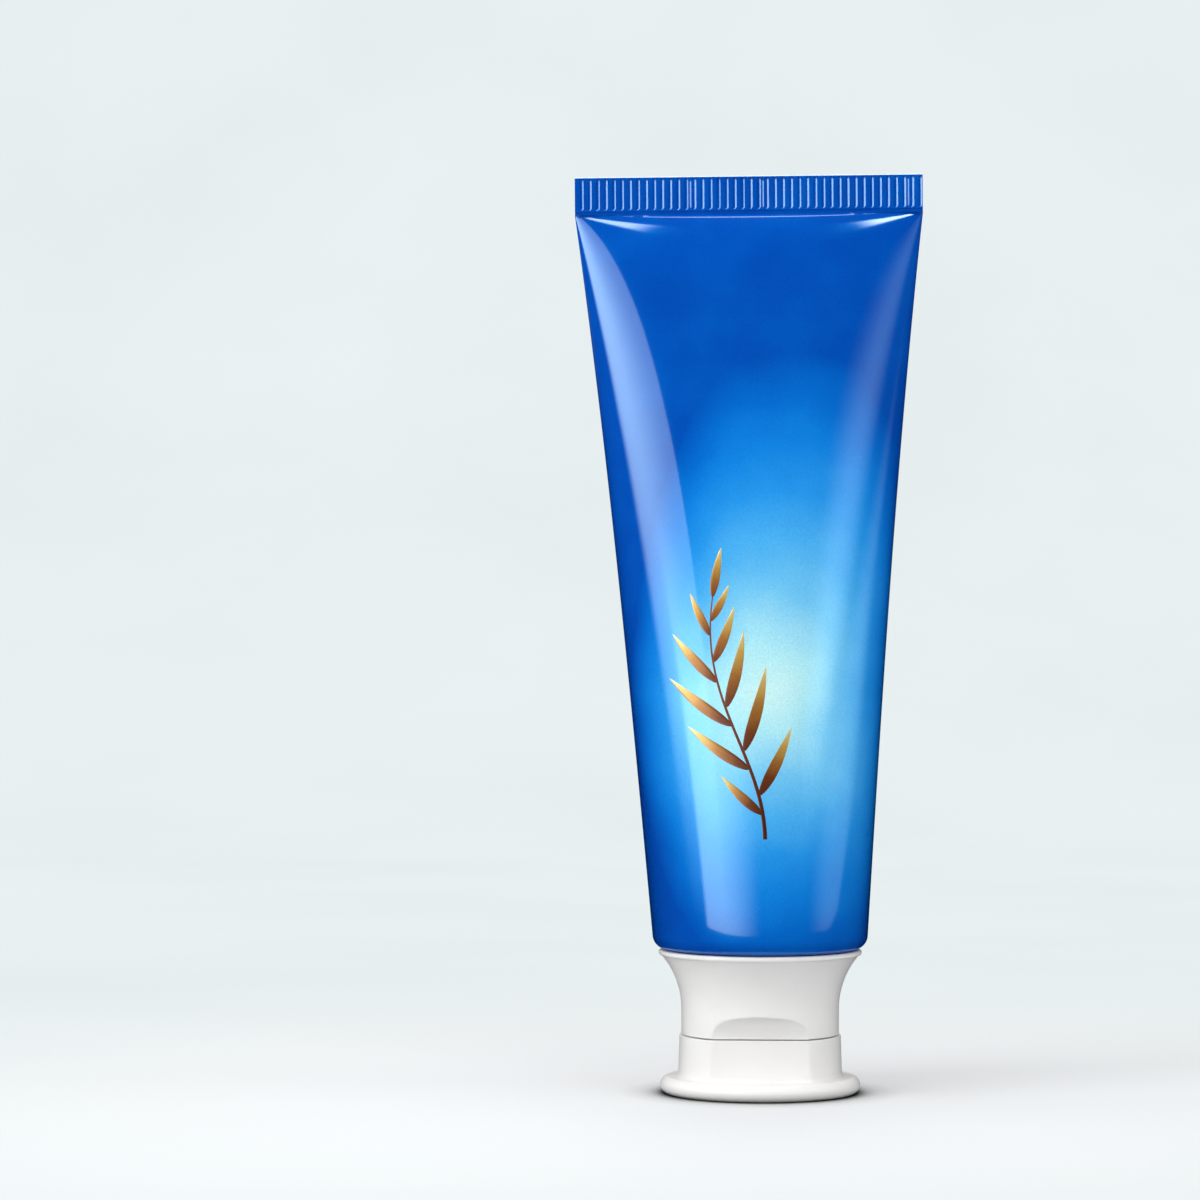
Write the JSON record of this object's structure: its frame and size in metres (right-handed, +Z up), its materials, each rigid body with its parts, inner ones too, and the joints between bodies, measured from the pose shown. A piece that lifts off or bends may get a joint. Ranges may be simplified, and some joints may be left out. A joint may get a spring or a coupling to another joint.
{
  "type": "toothpaste tube",
  "caption": "Squeezable laminate tube with a ribbed crimped end, standing upright on a white flip-top cap with a thumb scoop.",
  "frame": {"origin": "centre of the lid's flat end, which the tube stands on", "axes": "+Z up the tube to the crimp; the flat facet and the thumb scoop face -Y; +X to the right seen from that front"},
  "size_m": [0.0566, 0.035, 0.1493],
  "materials": {
    "blue_laminate": "satin",
    "head_plastic": "matte",
    "paste": "satin",
    "cap_plastic": "satin"
  },
  "bodies": {
    "tube": {"tube_sleeve": "blue_laminate", "tube_head": "head_plastic", "toothpaste": "paste"},
    "cap": {"cap_base": "cap_plastic", "living_hinge": "cap_plastic"},
    "lid": {"cap_lid": "cap_plastic"}
  },
  "joints": [
    {"name": "cap_unscrew", "type": "hinge", "parent": "tube", "child": "cap", "pos_m": [0, 0, 0.0155], "axis": [0, 0, -1], "range_deg": [0, 540]},
    {"name": "lid_hinge", "type": "hinge", "parent": "cap", "child": "lid", "pos_m": [0, 0.0132, 0.0095], "axis": [1, 0, 0], "range_deg": [0, 135], "deforming": ["living_hinge"]}
  ]
}
